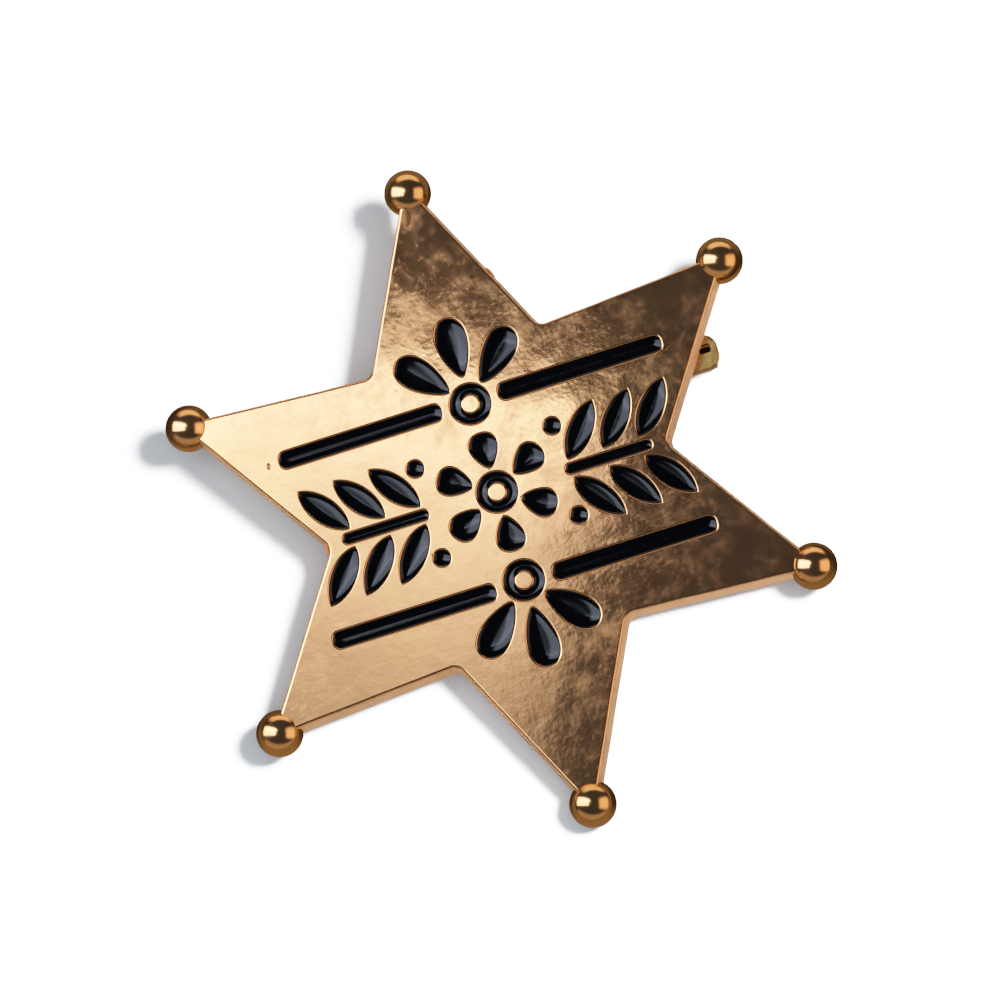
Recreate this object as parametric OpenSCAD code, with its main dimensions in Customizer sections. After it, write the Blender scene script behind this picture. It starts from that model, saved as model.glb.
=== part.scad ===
// Six-point star badge: a cast plate with a ball on each point, black enamel poured in
// sunk ornament, and a pin back riveted on two cast pegs. It lies face up, as it rests
// by itself: on the two ends of its pin back and on its bottom ball.

/* [Star] */
// Height of the badge over its top and bottom balls
span = 70; // [62:0.5:90]
// Diameter of the ball on each point
ball_d = 4.8; // [4:0.1:6]
// Thickness of the plate
plate_t = 3.0; // [2.4:0.1:4]
// Distance from the centre to the sharp corner of a notch
notch_r = 18.0; // [17.6:0.1:21]
// Radius that rounds the bottom of a notch
notch_round = 1.0; // [0.4:0.1:2]
// Width of a point where it reaches the centre of its ball
neck_w = 1.3; // [0.6:0.1:2]

/* [Enamel] */
// Depth of the sunk places
recess_depth = 0.6; // [0.4:0.05:1]
// How far the enamel lies below the face
enamel_sink = 0.2; // [0.1:0.05:0.3]
// Clearance between the enamel and its walls and floor
enamel_gap = 0.05; // [0.03:0.01:0.08]
// How far the whole ornament sits above the centre of the star
art_rise = 0.35; // [0:0.05:0.5]

/* [Petals and rings] */
// Height of a ring's centre above or below the middle of the ornament
ring_y = 9.4; // [9.3:0.1:10]
// Outer diameter of a ring
ring_d = 4.15; // [3.6:0.05:4.4]
// Diameter of the raised dot inside a ring
dot_d = 2.0; // [1.4:0.1:2.4]
// Length of a petal
petal_l = 6.1; // [5:0.1:6.6]
// Width of a petal
petal_w = 3.15; // [2.4:0.05:3.2]
// Distance from a ring's centre to the tip of the middle petal
petal_mid_r = 2.95; // [2.8:0.05:3.4]
// Distance from a ring's centre to the tip of a side petal
petal_side_r = 2.55; // [2.4:0.05:3]
// Angle between the middle petal and a side petal
petal_fan = 44; // [42:0.5:50]

/* [Bars] */
// Height of a bar above or below the middle of the ornament
bar_y = 9.6; // [9.2:0.1:10]
// Distance from the middle to the near end of a bar
bar_start = 3.05; // [2.8:0.05:4]
// Length of a bar
bar_l = 17.15; // [12:0.05:18]
// Width of a bar
bar_w = 1.75; // [1.2:0.05:2]
// Corner radius of a bar's ends
bar_round = 0.7; // [0.3:0.05:0.85]

/* [Rosette] */
// Outer diameter of the rosette's ring
rosette_ring_d = 4.15; // [3.2:0.05:4.2]
// Diameter of the rosette's raised dot
rosette_dot_d = 2.0; // [1.2:0.1:2.2]
// Distance from the rosette's centre to a petal's tip
rosette_petal_r = 2.65; // [2.6:0.05:2.8]
// Length of a rosette petal
rosette_petal_l = 3.55; // [2.8:0.05:3.7]
// Width of a rosette petal
rosette_petal_w = 2.8; // [1.8:0.1:2.9]

/* [Laurel sprays] */
// Distance from the middle to the near end of a stem
stem_start = 7.3; // [7:0.1:7.6]
// Length of a stem
stem_l = 9.0; // [7:0.1:9.2]
// Width of a stem
stem_w = 1.05; // [0.6:0.05:1.1]
// Distance from the middle to the first pair of leaves
leaf_start = 7.9; // [7.7:0.1:8.2]
// Distance between pairs of leaves along the stem
leaf_pitch = 3.75; // [3.7:0.05:3.85]
// Distance from a stem's middle line to the foot of a leaf
leaf_foot = 1.05; // [1:0.05:1.15]
// Length of a leaf
leaf_l = 6.3; // [5:0.1:6.4]
// Width of a leaf
leaf_w = 2.45; // [1.8:0.05:2.5]
// Angle between a leaf and its stem
leaf_lean = 52; // [50:1:56]
// Diameter of a berry
berry_d = 1.7; // [1:0.1:1.8]
// Distance of a berry from the middle of the ornament, sideways
berry_x = 7.25; // [7:0.05:7.35]
// Distance of a berry from the middle of the ornament, upwards
berry_y = 4.75; // [4.7:0.05:5.2]

/* [Pin back] */
// Height of the pin back above the centre of the star
pin_y = 8.1; // [6:0.1:9]
// Place of the strip's hinge end, left of the centre
strip_left = 21.2; // [19:0.1:22]
// Place of the strip's catch end, right of the centre
strip_right = 25.4; // [22:0.1:26]
// Width of the strip
strip_w = 3.6; // [3.6:0.1:4.6]
// Thickness of the strip
strip_t = 0.8; // [0.6:0.05:1]
// Corner radius of the strip's ends
strip_round = 1.4; // [0.4:0.1:1.6]
// Clearance between the strip and the casting
strip_gap = 0.05; // [0.03:0.01:0.1]
// Diameter of the stem wire
wire_d = 1.0; // [0.8:0.05:1.2]
// Space between the strip and the stem wire, where the cloth goes
cloth_gap = 1.45; // [1.2:0.05:2]
// Length of the stem wire's sharpened tip
tip_l = 3.2; // [2:0.1:4]
// Wall of the catch
catch_t = 0.65; // [0.5:0.05:0.8]
// Width of the catch along the wire
catch_w = 3.0; // [2:0.1:4]
// Clearance between the wire and the inside of the catch
catch_gap = 0.35; // [0.2:0.05:0.5]
// Distance from the catch's outer face to the end of the strip
catch_inset = 0.6; // [0:0.1:0.6]
// Angle by which the catch's lip rises past the middle of the wire
catch_lip = 20; // [0:5:30]
// Distance from the wire's tip to the end of the strip
tip_inset = 0.4; // [0.2:0.1:1]
// Diameter of the wire's blunt tip
tip_d = 0.2; // [0.1:0.05:0.4]
// Width of the hinge end over its two ears
hinge_w = 3.2; // [2.8:0.1:3.6]
// Distance of the hinge's middle from the end of the strip
hinge_inset = 1.9; // [1.6:0.1:3]
// Diameter of the stem wire's eye
eye_d = 2.2; // [1.6:0.1:2.4]
// Thickness of a hinge ear
ear_t = 0.7; // [0.5:0.05:0.8]
// Length of the slot through the strip in front of the wire's tip
window_l = 1.2; // [0.8:0.1:1.6]
// Width of the slot through the strip in front of the wire's tip
window_w = 0.9; // [0.6:0.1:1.2]
// Distance from the slot to the end of the strip
window_inset = 0.7; // [0.3:0.1:1]
// How far the slot sits above the wire
window_rise = 0.3; // [0:0.1:0.6]
// Corner radius of the slot
window_round = 0.2; // [0.1:0.05:0.25]
// Distance between the two cast pegs
peg_pitch = 26; // [20:0.5:30]
// Diameter of a cast peg
peg_d = 2.0; // [1.6:0.1:2.4]
// Diameter of a peg's riveted head
peg_head_d = 3.2; // [2.8:0.1:3.6]
// Height of a peg's riveted head
peg_head_h = 0.5; // [0.3:0.05:0.7]

/* [Hidden] */
POINTS = 6;
ROSETTE_PETALS = 6;
LEAF_PAIRS = 3;
BERRIES = 4;
LEVELS = ["upper", "lower"];
SIDES = ["left", "middle", "right"];
HANDS = ["left", "right"];

gold = "#c79a5b";
enamel_black = "#1c1c24";
brass = "#b9843c";

// Facets of a circle, of one side of a blade's outline and of a rounded corner
$fn = 64;
blade_steps = 14;
corner_steps = 5;
// Facets of the rounded end of an ear and of the catch
bend_steps = 16;
// Slack by which a cut passes the face that it opens
past = 0.5;
// Depth to which one form of a casting or a bent strip runs into the next
bite = 0.2;

// How much a blade narrows at its foot and at its end, where 0 is round, and how blunt
// its foot stays
petal_form = [1.8, 0, 0.44];
leaf_form = [0.45, 0.55, 0];

// The plate and the balls
ball_r = ball_d / 2;
ring_of_balls_r = span / 2 - ball_r;
point_turn = 360 / POINTS;
face_z = plate_t / 2;
back_z = -plate_t / 2;
recess_z = face_z - recess_depth;
enamel_low_z = recess_z + enamel_gap;
enamel_t = recess_depth - enamel_gap - enamel_sink;

// The pin back, from the plate's back to the wire
strip_top_z = back_z - strip_gap;
strip_low_z = strip_top_z - strip_t;
wire_r = wire_d / 2;
wire_z = strip_low_z - cloth_gap - wire_r;
wire_end_x = strip_right - tip_inset;
catch_inner_r = wire_r + catch_gap;
catch_outer_r = catch_inner_r + catch_t;
hinge_x = hinge_inset - strip_left;
peg_middle_x = (strip_right - strip_left) / 2;
peg_places = [for (side = [-1, 1]) [peg_middle_x + side * peg_pitch / 2, pin_y]];

// How the badge rests. The catch and the bottom ball are both round, and the badge
// leans until one flat surface touches the two of them.
foot_y = ring_of_balls_r + pin_y;
foot_drop = -wire_z;
rest_tilt = atan(foot_drop / foot_y)
    + asin((catch_outer_r - ball_r) / norm([foot_y, foot_drop]));
rest_lift = ring_of_balls_r * sin(rest_tilt) + ball_r;
// The lower ear of the hinge touches the same surface as the catch
ear_r = (catch_outer_r - hinge_w / 2 * sin(rest_tilt)) / cos(rest_tilt);

function petal_name(level, side) = str("petal_", level, "_", side);
function ring_name(level) = str("ring_", level);
function bar_name(level, hand) = str("bar_", level, "_", hand);
function rosette_petal_name(i) = str("rosette_petal_", i);
function stem_name(hand) = str("stem_", hand);
function leaf_name(hand, i) = str("leaf_", hand, "_", i);
function berry_name(i) = str("berry_", i);

// 1 or -1 for a level, and 1, 0 or -1 for a side
function up(level) = level == "upper" ? 1 : -1;
function across(side) = side == "right" ? 1 : side == "left" ? -1 : 0;
function polar(r, a) = [r * cos(a), r * sin(a)];

// Points of an arc round a centre, from one angle to another
function arc(centre, r, from, to, steps) =
    [for (i = [0:steps]) centre + polar(r, from + (to - from) * i / steps)];

// Half the width of a blade at an angle from 0 at its end to 180 at its foot
function blade_half(a, form) =
    sin(a) * (form[2] + (1 - form[2]) * pow(cos(a / 2), form[0])) * pow(sin(a / 2), form[1]);

// Outline of a blade along +X, with its foot at 0 and its end at l
function blade(l, w, form) =
    let (widest = max([for (a = [1:179]) blade_half(a, form)]))
    [for (i = [0:2 * blade_steps - 1])
        let (a = 180 * i / blade_steps, side = a > 180 ? -1 : 1)
        [l / 2 * (1 + cos(a)),
         side * w / 2 * blade_half(min(a, 360 - a), form) / widest]];

// Outline of a bar along +X from 0 to l, with rounded corners kept within its width
function rounded_bar(l, w, r) =
    let (q = min(r, w * 0.48))
    concat(
        arc([q, q - w / 2], q, 180, 270, corner_steps),
        arc([l - q, q - w / 2], q, 270, 360, corner_steps),
        arc([l - q, w / 2 - q], q, 0, 90, corner_steps),
        arc([q, w / 2 - q], q, 90, 180, corner_steps));

// Outline from one point to the next, by way of the rounded notch between them
function notch(turn) =
    let (
        half = point_turn / 2,
        neck = polar(ring_of_balls_r, half) + polar(neck_w / 2, half - 90),
        slope = atan2(neck[1], neck[0] - notch_r),
        centre = [notch_r + notch_round / sin(slope), 0],
        low = [neck[0], -neck[1]],
        path = concat([low],
            arc(centre, notch_round, 270 - slope, 90 + slope, corner_steps), [neck])
    )
    [for (p = path) polar(norm(p), atan2(p[1], p[0]) + turn)];
star_outline = [for (i = [0:POINTS - 1]) each notch(i * point_turn)];

// Places a piece of the badge, drawn flat with its balls centred on z = 0, as it rests
module at_rest() {
    translate([0, 0, rest_lift]) rotate([rest_tilt, 0, 0]) children();
}

// Shapes of the ornament, drawn round its own middle and made smaller by g all round
module petal_shape(level, side, g = 0) {
    foot = side == "middle" ? petal_mid_r : petal_side_r;
    translate([0, up(level) * ring_y])
        rotate(up(level) * (90 - across(side) * petal_fan))
            translate([foot + g, 0])
                polygon(blade(petal_l - 2 * g, petal_w - 2 * g, petal_form));
}

module dotted_ring(d, dot, g) {
    difference() {
        circle(d = d - 2 * g);
        circle(d = dot + 2 * g);
    }
}

module ring_shape(level, g = 0) {
    translate([0, up(level) * ring_y]) dotted_ring(ring_d, dot_d, g);
}

module bar_shape(level, hand, g = 0) {
    translate([0, up(level) * bar_y])
        rotate(hand == "right" ? 0 : 180)
            translate([bar_start + g, 0])
                polygon(rounded_bar(bar_l - 2 * g, bar_w - 2 * g, bar_round - g));
}

module rosette_ring_shape(g = 0) {
    dotted_ring(rosette_ring_d, rosette_dot_d, g);
}

module rosette_petal_shape(i, g = 0) {
    rotate(90 + (i - 1) * 360 / ROSETTE_PETALS)
        translate([rosette_petal_r + g, 0])
            polygon(blade(rosette_petal_l - 2 * g, rosette_petal_w - 2 * g, petal_form));
}

module stem_shape(hand, g = 0) {
    rotate(hand == "right" ? 0 : 180)
        translate([stem_start + g, 0])
            polygon(rounded_bar(stem_l - 2 * g, stem_w - 2 * g, stem_w / 2 - g));
}

module leaf_shape(hand, i, g = 0) {
    pair = floor((i - 1) / 2);
    side = i % 2 == 1 ? 1 : -1;
    mirror([hand == "right" ? 0 : 1, 0])
        translate([leaf_start + pair * leaf_pitch, side * leaf_foot])
            rotate(side * leaf_lean)
                translate([g, 0])
                    polygon(blade(leaf_l - 2 * g, leaf_w - 2 * g, leaf_form));
}

module berry_shape(i, g = 0) {
    across_x = i % 2 == 1 ? 1 : -1;
    along_y = i <= BERRIES / 2 ? 1 : -1;
    translate([across_x * berry_x, along_y * berry_y]) circle(d = berry_d - 2 * g);
}

// Cuts one sunk place into the face
module sunk() {
    translate([0, art_rise, recess_z]) linear_extrude(recess_depth + past) children();
}

// Fills one sunk place with enamel
module fill() {
    color(enamel_black)
        at_rest()
            translate([0, art_rise, enamel_low_z]) linear_extrude(enamel_t) children();
}

// A cast peg on the back that holds the strip under its riveted head
module peg(place) {
    head_z = strip_low_z - strip_gap;
    translate([place[0], place[1], head_z])
        cylinder(h = back_z + bite - head_z, d = peg_d);
    translate([place[0], place[1], head_z - peg_head_h])
        cylinder(h = peg_head_h, d1 = peg_d, d2 = peg_head_d);
}

module star() {
    color(gold)
        at_rest()
            difference() {
                union() {
                    translate([0, 0, back_z]) linear_extrude(plate_t) polygon(star_outline);
                    for (i = [0:POINTS - 1])
                        rotate(90 + i * point_turn)
                            translate([ring_of_balls_r, 0, 0]) sphere(r = ball_r);
                    for (place = peg_places) peg(place);
                }
                for (level = LEVELS, side = SIDES) sunk() petal_shape(level, side);
                for (level = LEVELS) sunk() ring_shape(level);
                for (level = LEVELS, hand = HANDS) sunk() bar_shape(level, hand);
                sunk() rosette_ring_shape();
                for (i = [1:ROSETTE_PETALS]) sunk() rosette_petal_shape(i);
                for (hand = HANDS) sunk() stem_shape(hand);
                for (hand = HANDS, i = [1:2 * LEAF_PAIRS]) sunk() leaf_shape(hand, i);
                for (i = [1:BERRIES]) sunk() berry_shape(i);
            }
}

// The flat strip, with a hole for each peg and a slot in front of the wire's tip
module strip() {
    translate([0, 0, strip_low_z])
        linear_extrude(strip_t)
            difference() {
                translate([-strip_left, pin_y])
                    polygon(rounded_bar(strip_left + strip_right, strip_w, strip_round));
                for (place = peg_places) translate(place) circle(d = peg_d + 2 * strip_gap);
                translate([strip_right - window_inset - window_l, pin_y + window_rise])
                    polygon(rounded_bar(window_l, window_w, window_round));
            }
}

// Draws a profile of Y and Z and gives it its length along X
module along_x(x, l) {
    translate([x, 0, 0]) rotate([90, 0, 90]) linear_extrude(l) children();
}

// The catch: a leg down from the strip that curls under the wire and is open above
module catch() {
    centre = [pin_y, wire_z];
    top_z = strip_low_z + bite;
    along_x(strip_right - catch_inset - catch_w, catch_w)
        polygon(concat(
            [[pin_y - catch_outer_r, top_z]],
            arc(centre, catch_outer_r, 180, 360 + catch_lip, bend_steps),
            arc(centre, catch_inner_r, 360 + catch_lip, 180, bend_steps),
            [[pin_y - catch_inner_r, top_z]]));
}

// One ear of the hinge end, rounded below, from y to y + ear_t
module ear(y) {
    top_z = strip_low_z + bite;
    translate([0, y + ear_t, 0])
        rotate([90, 0, 0])
            linear_extrude(ear_t)
                polygon(concat(
                    [[hinge_x - ear_r, top_z]],
                    arc([hinge_x, wire_z], ear_r, 180, 360, bend_steps),
                    [[hinge_x + ear_r, top_z]]));
}

// The stem wire from its eye between the ears to its sharp tip in the catch
module stem_wire() {
    eye_l = hinge_w - 2 * ear_t + 2 * bite;
    translate([hinge_x, pin_y + eye_l / 2, wire_z])
        rotate([90, 0, 0]) cylinder(h = eye_l, d = eye_d);
    translate([hinge_x, pin_y, wire_z])
        rotate([0, 90, 0]) cylinder(h = wire_end_x - tip_l - hinge_x, d = wire_d);
    translate([wire_end_x - tip_l, pin_y, wire_z])
        rotate([0, 90, 0]) cylinder(h = tip_l, d1 = wire_d, d2 = tip_d);
}

module pin_back() {
    color(brass)
        at_rest() {
            strip();
            catch();
            ear(pin_y - hinge_w / 2);
            ear(pin_y + hinge_w / 2 - ear_t);
            stem_wire();
        }
}

star();
pin_back();
for (level = LEVELS, side = SIDES)
    fill() petal_shape(level, side, enamel_gap);
for (level = LEVELS)
    fill() ring_shape(level, enamel_gap);
for (level = LEVELS, hand = HANDS)
    fill() bar_shape(level, hand, enamel_gap);
fill() rosette_ring_shape(enamel_gap);  // rosette_ring
for (i = [1:ROSETTE_PETALS])
    fill() rosette_petal_shape(i, enamel_gap);
for (hand = HANDS)
    fill() stem_shape(hand, enamel_gap);
for (hand = HANDS, i = [1:2 * LEAF_PAIRS])
    fill() leaf_shape(hand, i, enamel_gap);
for (i = [1:BERRIES])
    fill() berry_shape(i, enamel_gap);
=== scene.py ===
import math
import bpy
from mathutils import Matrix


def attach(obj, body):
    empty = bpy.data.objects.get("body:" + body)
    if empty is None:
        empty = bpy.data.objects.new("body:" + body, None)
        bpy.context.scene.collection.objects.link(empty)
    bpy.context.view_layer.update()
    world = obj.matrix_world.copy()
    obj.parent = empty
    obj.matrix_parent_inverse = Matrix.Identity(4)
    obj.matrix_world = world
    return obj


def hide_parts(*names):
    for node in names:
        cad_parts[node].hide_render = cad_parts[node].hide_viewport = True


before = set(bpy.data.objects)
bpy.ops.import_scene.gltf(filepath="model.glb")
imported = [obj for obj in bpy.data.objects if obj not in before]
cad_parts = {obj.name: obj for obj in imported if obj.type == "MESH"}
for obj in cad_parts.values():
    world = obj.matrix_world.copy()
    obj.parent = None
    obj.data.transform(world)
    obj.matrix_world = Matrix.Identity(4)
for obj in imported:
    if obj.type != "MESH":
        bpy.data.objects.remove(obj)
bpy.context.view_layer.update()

from types import SimpleNamespace

import bmesh
import bpy
from bpy.props import FloatProperty, FloatVectorProperty, IntProperty, PointerProperty
from mathutils import Matrix, Vector

bl_info = {
    "name": "Six-point star badge",
    "version": (1, 0, 0),
    "blender": (4, 5, 0),
    "location": "View3D > Sidebar > Badge",
    "description": "Models a cast star badge with black enamel ornament and a pin back",
    "category": "Object",
}

# Pieces are modelled on the bench at 1000 to 1, where 1 unit is 1 mm, and shrunk when placed
MM = 0.001

# How much a blade narrows at its foot and at its end, where 0 is round, and how blunt
# its foot stays
PETAL_FORM = (1.8, 0.0, 0.44)
LEAF_FORM = (0.45, 0.55, 0.0)
POINTS = 6
ROSETTE_PETALS = 6
LEAF_PAIRS = 3


def length(name, about, mm):
    """A length that the user may change, with its default in millimetres"""
    return FloatProperty(name=name, description=about, default=mm * MM, min=0.0,
                         unit='LENGTH', precision=5)


def angle(name, about, degrees):
    """An angle that the user may change, with its default in degrees"""
    return FloatProperty(name=name, description=about, default=math.radians(degrees),
                         subtype='ANGLE', unit='ROTATION')


def colour(name, about, red, green, blue):
    """A linear colour that the user may change"""
    return FloatVectorProperty(name=name, description=about, default=(red, green, blue),
                               size=3, min=0.0, max=1.0, subtype='COLOR')


def share(name, about, value, top=1.0):
    """A plain number that the user may change"""
    return FloatProperty(name=name, description=about, default=value, min=0.0, max=top)


class StarSizes(bpy.types.PropertyGroup):
    span: length("Height", "Height over the top and bottom balls", 70)
    ball_d: length("Ball", "Diameter of the ball on each point", 4.8)
    plate_t: length("Plate", "Thickness of the plate", 3.0)
    notch_r: length("Notch", "Distance from the centre to the sharp corner of a notch", 18.0)
    notch_round: length("Notch rounding", "Radius at the bottom of a notch", 1.0)
    neck_w: length("Neck", "Width of a point at the centre of its ball", 1.3)
    land: length("Land", "Straight part of the side wall next to the back", 0.5)
    draft: length("Draft", "How far the side wall leans in up to the face", 0.25)
    edge_round: length("Face edge", "Radius of the edge between face and side wall", 0.28)
    back_round: length("Back edge", "Radius of the edge between back and side wall", 0.15)
    wobble: length("Wobble", "How far the cast outline strays from its true line", 0.035)
    recess_depth: length("Recess", "Depth of the sunk places", 0.6)
    lip_round: length("Lip", "Radius of the lip round a sunk place", 0.20)
    art_rise: length("Ornament rise", "Height of the ornament above the centre", 0.35)
    peg_pitch: length("Peg pitch", "Distance between the two cast pegs", 26)
    peg_d: length("Peg", "Diameter of a cast peg", 2.0)
    peg_head_d: length("Peg head", "Diameter of a peg's riveted head", 3.2)
    peg_head_h: length("Peg head height", "Height of a peg's riveted head", 0.5)


class OrnamentSizes(bpy.types.PropertyGroup):
    ring_y: length("Ring height", "Ring's centre above or below the middle", 9.4)
    ring_d: length("Ring", "Outer diameter of a ring", 4.15)
    dot_d: length("Dot", "Diameter of the raised dot in a ring", 2.0)
    petal_l: length("Petal length", "Length of a petal", 6.1)
    petal_w: length("Petal width", "Width of a petal", 3.15)
    petal_mid_r: length("Middle petal foot", "From a ring's centre to the middle petal", 2.95)
    petal_side_r: length("Side petal foot", "From a ring's centre to a side petal", 2.55)
    petal_fan: angle("Petal fan", "Angle between the middle petal and a side petal", 44)
    bar_y: length("Bar height", "Bar above or below the middle", 9.6)
    bar_start: length("Bar start", "From the middle to the near end of a bar", 3.05)
    bar_l: length("Bar length", "Length of a bar", 17.15)
    bar_w: length("Bar width", "Width of a bar", 1.75)
    bar_round: length("Bar corner", "Corner radius of a bar's ends", 0.7)
    rosette_petal_r: length("Rosette petal foot", "From the centre to a rosette petal", 2.65)
    rosette_petal_l: length("Rosette petal length", "Length of a rosette petal", 3.55)
    rosette_petal_w: length("Rosette petal width", "Width of a rosette petal", 2.8)
    stem_start: length("Stem start", "From the middle to the near end of a stem", 7.3)
    stem_l: length("Stem length", "Length of a stem", 9.0)
    stem_w: length("Stem width", "Width of a stem", 1.05)
    leaf_start: length("Leaf start", "From the middle to the first pair of leaves", 7.9)
    leaf_pitch: length("Leaf pitch", "Distance between pairs of leaves", 3.75)
    leaf_foot: length("Leaf foot", "From a stem's middle line to a leaf", 1.05)
    leaf_l: length("Leaf length", "Length of a leaf", 6.3)
    leaf_w: length("Leaf width", "Width of a leaf", 2.45)
    leaf_lean: angle("Leaf lean", "Angle between a leaf and its stem", 52)
    berry_d: length("Berry", "Diameter of a berry", 1.7)
    berry_x: length("Berry across", "Distance of a berry from the middle, sideways", 7.25)
    berry_y: length("Berry up", "Distance of a berry from the middle, upwards", 4.75)


class EnamelSizes(bpy.types.PropertyGroup):
    clearance: length("Clearance", "Clearance between the enamel and its walls", 0.03)
    bed: length("Bed", "Clearance between the enamel and its floor", 0.05)
    rim_drop: length("Rim drop", "Depth of the enamel's rim below the face", 0.07)
    creep: length("Creep", "Height to which wet enamel crept up its walls", 0.15)
    creep_reach: length("Creep reach", "Width of the steep rim that the creep left", 0.25)
    dish: length("Dish", "Depth of the wide hollow in the middle", 0.10)
    rings: IntProperty(name="Rings", description="Rows of faces from the rim to the middle",
                       default=9, min=3, max=16)


class ClaspSizes(bpy.types.PropertyGroup):
    pin_y: length("Height", "Pin back above the centre of the star", 8.1)
    strip_left: length("Hinge end", "Place of the hinge end, left of the centre", 21.2)
    strip_right: length("Catch end", "Place of the catch end, right of the centre", 25.4)
    strip_w: length("Strip width", "Width of the strip", 3.6)
    strip_t: length("Strip", "Thickness of the strip", 0.8)
    strip_round: length("Strip corner", "Corner radius of the strip's ends", 1.4)
    strip_gap: length("Strip clearance", "Clearance between strip and casting", 0.05)
    stamp_round: length("Stamped edge", "Radius of the strip's stamped edges", 0.16)
    wire_d: length("Wire", "Diameter of the stem wire", 1.0)
    cloth_gap: length("Cloth gap", "Space between the strip and the wire", 1.45)
    tip_l: length("Tip", "Length of the wire's sharpened tip", 3.2)
    tip_inset: length("Tip inset", "From the wire's tip to the end of the strip", 0.4)
    tip_d: length("Tip end", "Diameter of the wire's blunt tip", 0.2)
    catch_t: length("Catch wall", "Wall of the catch", 0.65)
    catch_w: length("Catch width", "Width of the catch along the wire", 3.0)
    catch_gap: length("Catch clearance", "Between the wire and the catch", 0.35)
    catch_inset: length("Catch inset", "From the catch to the end of the strip", 0.6)
    catch_lip: angle("Catch lip", "How far the catch's lip rises past the wire", 20)
    hinge_w: length("Hinge width", "Width of the hinge over its ears", 3.2)
    hinge_inset: length("Hinge inset", "From the hinge to the end of the strip", 1.9)
    eye_d: length("Eye", "Diameter of the wire's eye", 2.2)
    ear_t: length("Ear", "Thickness of a hinge ear", 0.7)
    rivet_d: length("Rivet", "Diameter of the hinge rivet", 0.6)
    rivet_head_d: length("Rivet head", "Diameter of the rivet's heads", 1.3)
    rivet_head_h: length("Rivet head height", "Height of the rivet's heads", 0.3)
    window_l: length("Slot length", "Length of the slot near the catch end", 1.2)
    window_w: length("Slot width", "Width of the slot near the catch end", 0.9)
    window_inset: length("Slot inset", "From the slot to the end of the strip", 0.7)
    window_rise: length("Slot rise", "How far the slot sits above the wire", 0.3)
    window_round: length("Slot corner", "Corner radius of the slot", 0.2)


class BadgeColours(bpy.types.PropertyGroup):
    gold: colour("Gold", "Antique gold of the plate", 0.93, 0.49, 0.225)
    rose: colour("Rose gold", "Pinker clouds in the plating", 0.90, 0.44, 0.22)
    # The bronze tone also colours the painted shade over the lips and edges and, darkened, the
    # painted shade on the pin back
    bronze: colour("Bronze tone", "Brown tone left beside lips and edges", 0.50, 0.24, 0.09)
    ball_gold: colour("Ball gold", "Polished gold of the balls", 0.74, 0.40, 0.16)
    brass: colour("Brass", "Plated brass of the pin back", 0.88, 0.55, 0.19)
    enamel: colour("Enamel", "Black soft enamel", 0.004, 0.004, 0.005)
    floor: colour("Floor", "Pale floor", 0.72, 0.72, 0.72)
    plate_rough: share("Plate roughness", "Roughness of the plate", 0.06)
    ball_rough: share("Ball roughness", "Roughness of the balls", 0.13)
    enamel_rough: share("Enamel roughness", "Roughness of the enamel", 0.05)


class StageSizes(bpy.types.PropertyGroup):
    camera_far: length("Camera distance", "From the camera to the badge", 850)
    camera_around: angle("Camera around", "Camera's turn round the badge, from the front", 15.87)
    camera_above: angle("Camera above", "Camera's angle above the floor", 75.77)
    camera_roll: angle("Camera roll", "How far the camera is turned about its own axis", 32.9)
    aim_x: FloatProperty(name="Aim X", description="Place that the camera looks at, along X",
                         default=-0.07 * MM, unit='LENGTH', precision=5)
    aim_y: FloatProperty(name="Aim Y", description="Place that the camera looks at, along Y",
                         default=-0.283 * MM, unit='LENGTH', precision=5)
    aim_z: length("Aim height", "Height of the place that the camera looks at", 5.05)
    lens: FloatProperty(name="Lens", description="Focal length in millimetres",
                        default=303.1, min=10.0)
    floor_w: length("Floor", "Width of the floor", 3000)


def in_mm(group):
    """The sizes of a group, with lengths in millimetres"""
    values = SimpleNamespace()
    for key in group.__annotations__:
        value = getattr(group, key)
        if group.bl_rna.properties[key].unit == 'LENGTH':
            value /= MM
        setattr(values, key, value)
    return values


def sizes():
    """All the badge's sizes, by group, with the levels that follow from them"""
    scene = bpy.context.scene
    star = in_mm(scene.star_sizes)
    art = in_mm(scene.ornament_sizes)
    enamel = in_mm(scene.enamel_sizes)
    clasp = in_mm(scene.clasp_sizes)
    star.ball_r = star.ball_d / 2
    star.balls_at = star.span / 2 - star.ball_r
    star.face_z = star.plate_t / 2
    star.back_z = -star.plate_t / 2
    star.recess_z = star.face_z - star.recess_depth
    clasp.strip_top_z = star.back_z - clasp.strip_gap
    clasp.strip_low_z = clasp.strip_top_z - clasp.strip_t
    clasp.wire_r = clasp.wire_d / 2
    clasp.wire_z = clasp.strip_low_z - clasp.cloth_gap - clasp.wire_r
    clasp.catch_inner_r = clasp.wire_r + clasp.catch_gap
    clasp.catch_outer_r = clasp.catch_inner_r + clasp.catch_t
    clasp.hinge_x = clasp.hinge_inset - clasp.strip_left
    middle_x = (clasp.strip_right - clasp.strip_left) / 2
    clasp.pegs = [(middle_x + side * star.peg_pitch / 2, clasp.pin_y) for side in (-1, 1)]
    # The badge leans until one flat surface touches its catch and its bottom ball
    foot_y = star.balls_at + clasp.pin_y
    foot_drop = -clasp.wire_z
    star.tilt = (math.atan(foot_drop / foot_y)
                 + math.asin((clasp.catch_outer_r - star.ball_r) / math.hypot(foot_y, foot_drop)))
    star.lift = star.balls_at * math.sin(star.tilt) + star.ball_r
    clasp.ear_r = ((clasp.catch_outer_r - clasp.hinge_w / 2 * math.sin(star.tilt))
                   / math.cos(star.tilt))
    return SimpleNamespace(star=star, art=art, enamel=enamel, clasp=clasp)


# Bench work: selecting, raising and finishing

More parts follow.
